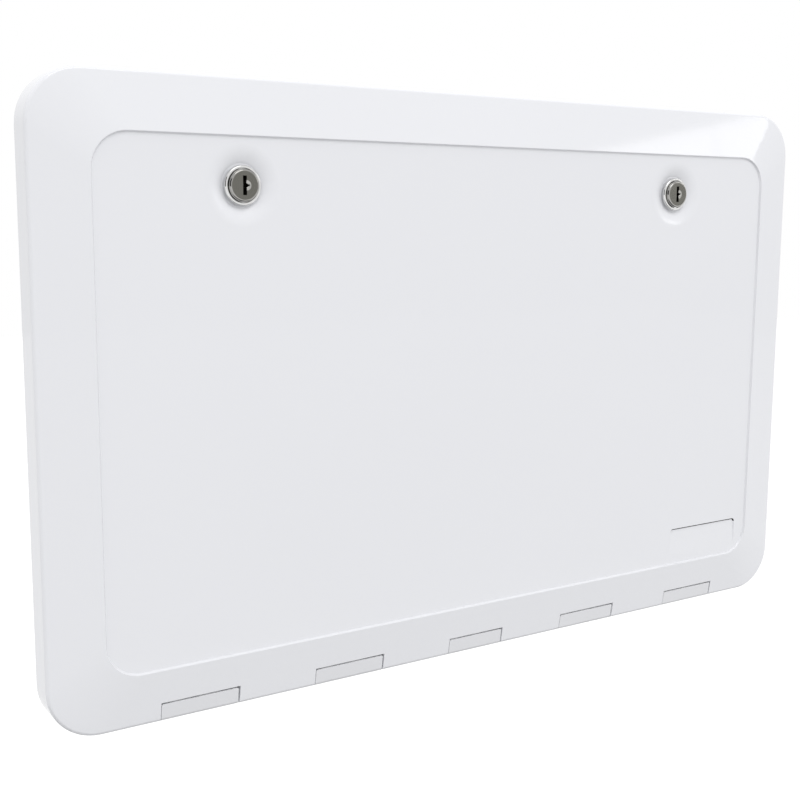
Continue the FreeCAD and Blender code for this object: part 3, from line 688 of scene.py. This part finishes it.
def seen_plainly(nodes, link, path):
    """A mask of the rays that show a thing: from the camera, from glossy surfaces or through glass."""
    seen = combined(nodes, link, "MAXIMUM", path["Is Camera Ray"], path["Is Glossy Ray"])
    return combined(nodes, link, "MAXIMUM", seen, path["Is Transmission Ray"])


corners = [(x * FLOOR_HALF, y * FLOOR_HALF, FLOOR_Z) for x, y in CORNER_SIGNS]
_, nodes, link = plain_sheet("floor", corners, [(0, 1, 2, 3)], "studio floor")
shader = nodes["Principled BSDF"]
place = nodes.new("ShaderNodeTexCoord").outputs["Object"]
flat_way = measured(nodes, link, place, "MULTIPLY", "Vector", FLOOR_PATCH)
patch = nodes.new("ShaderNodeMapRange")
patch.interpolation_type = "SMOOTHSTEP"
patch.inputs["From Min"].default_value, patch.inputs["From Max"].default_value = FLOOR_FADE
patch.inputs["To Min"].default_value, patch.inputs["To Max"].default_value = 1.0, 0.0
link(measured(nodes, link, flat_way, "LENGTH", "Value"), patch.inputs["Value"])
path = nodes.new("ShaderNodeLightPath").outputs
dark = combined(nodes, link, "MULTIPLY", path["Is Glossy Ray"], patch.outputs["Result"])
pale = combined(nodes, link, "SUBTRACT", 1.0, dark)
seen = combined(nodes, link, "MULTIPLY", seen_plainly(nodes, link, path), pale)
link(combined(nodes, link, "MULTIPLY", seen, FLOOR_LIFT), shader.inputs["Emission Strength"])
link(combined(nodes, link, "MULTIPLY", pale, FLOOR_GREY), shader.inputs["Base Color"])
shader.inputs["Roughness"].default_value = MATT
shader.inputs["Emission Color"].default_value = WHITE

world = bpy.data.worlds.new("studio")
bpy.context.scene.world = world
world.use_nodes = True
nodes, link = world.node_tree.nodes, world.node_tree.links.new
sky, backdrop = nodes["Background"], nodes.new("ShaderNodeBackground")
for background, strength in ((sky, SKY), (backdrop, 1.0)):
    background.inputs["Color"].default_value = WHITE
    background.inputs["Strength"].default_value = strength
choice = nodes.new("ShaderNodeMixShader")
link(seen_plainly(nodes, link, nodes.new("ShaderNodeLightPath").outputs), choice.inputs[0])
link(sky.outputs[0], choice.inputs[1])
link(backdrop.outputs[0], choice.inputs[2])
link(choice.outputs[0], nodes["World Output"].inputs["Surface"])

# The flag is part of a sphere around the left lock, so that a ray's length tells the locks, which mirror it,
# from the leaf's left edge, which lies nearer to it and doesn't.
azimuth, height = np.radians(np.meshgrid(np.linspace(*FLAG_AZIMUTH, FLAG_LINES),
                                         np.linspace(*FLAG_HEIGHT, FLAG_LINES)))
way = np.stack([np.sin(azimuth) * np.cos(height), -np.cos(azimuth) * np.cos(height), np.sin(height)], axis=-1)
flag_centre = lock_axis["left"] + (0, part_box("left_lock_plug")[0][1], 0)
flag, nodes, link = plain_sheet("black flag", flag_centre + FLAG_FAR * way.reshape(-1, 3),
                                grid_faces(FLAG_LINES, FLAG_LINES, False), "black felt")
flag.visible_camera = flag.visible_diffuse = False
flag.visible_transmission = flag.visible_shadow = False
shader = nodes["Principled BSDF"]
shader.inputs["Base Color"].default_value = FELT_BLACK
shader.inputs["Roughness"].default_value = MATT
reach = nodes.new("ShaderNodeLightPath").outputs["Ray Length"]
choice = nodes.new("ShaderNodeMixShader")
link(combined(nodes, link, "GREATER_THAN", reach, FLAG_FAR - FLAG_SPARE), choice.inputs[0])
link(nodes.new("ShaderNodeBsdfTransparent").outputs[0], choice.inputs[1])
link(shader.outputs[0], choice.inputs[2])
link(choice.outputs[0], nodes["Material Output"].inputs["Surface"])


def softbox(name, place, aim, width, height, radiance):
    """A rectangular lamp at a place, facing its aim; its power is radiance times pi times its area."""
    lamp = bpy.data.lights.new(name, "AREA")
    lamp.shape = "RECTANGLE"
    lamp.size = width
    lamp.size_y = height
    lamp.energy = radiance * math.pi * width * height
    made = bpy.data.objects.new(name, lamp)
    made.location = place
    made.rotation_euler = (Vector(aim) - Vector(place)).to_track_quat("-Z", "Y").to_euler()
    bpy.context.scene.collection.objects.link(made)


def pane(name, left, right):
    """One pane of the window between two azimuths in degrees, seen from the top border: its centre stands at
    aim + far (sin az cos el, -cos az cos el, sin el) and its size is 2 far tan(half the angle)."""
    azimuth = math.radians((left + right) / 2)
    height = math.radians((WINDOW_LOW + WINDOW_TOP) / 2)
    flat = math.cos(height)
    way = Vector((math.sin(azimuth) * flat, -math.cos(azimuth) * flat, math.sin(height)))
    softbox(name, Vector(WINDOW_AIM) + WINDOW_FAR * way, WINDOW_AIM,
            2 * WINDOW_FAR * math.tan(math.radians(right - left) / 2),
            2 * WINDOW_FAR * math.tan(math.radians(WINDOW_TOP - WINDOW_LOW) / 2), WINDOW_RADIANCE)


softbox("front softbox", SOFTBOX_PLACE, SOFTBOX_AIM, SOFTBOX_WIDE, SOFTBOX_HIGH, SOFTBOX_RADIANCE)
pane("left pane", *LEFT_PANE)
pane("right pane", *RIGHT_PANE)

# Camera: the photograph's viewing angle, from the front left and a little above. Yaw, pitch and roll are in
# degrees, from a level view along +Y.
CAMERA_PLACE = (-0.49745, -0.68611, 0.11202)
CAMERA_YAW, CAMERA_PITCH, CAMERA_ROLL = 33.03, -8.60, 0.34
CAMERA_LENS, CAMERA_SENSOR = 54.68, 36.0
view = bpy.data.cameras.new("photograph view")
view.lens = CAMERA_LENS
view.sensor_width = CAMERA_SENSOR
camera = bpy.data.objects.new("photograph view", view)
turn = (Matrix.Rotation(math.radians(-CAMERA_YAW), 4, "Z")
        @ Matrix.Rotation(math.radians(90 + CAMERA_PITCH), 4, "X")
        @ Matrix.Rotation(math.radians(CAMERA_ROLL), 4, "Z"))
camera.matrix_world = Matrix.Translation(CAMERA_PLACE) @ turn
bpy.context.scene.collection.objects.link(camera)
bpy.context.scene.camera = camera

bpy.context.scene.view_settings.view_transform = "Standard"
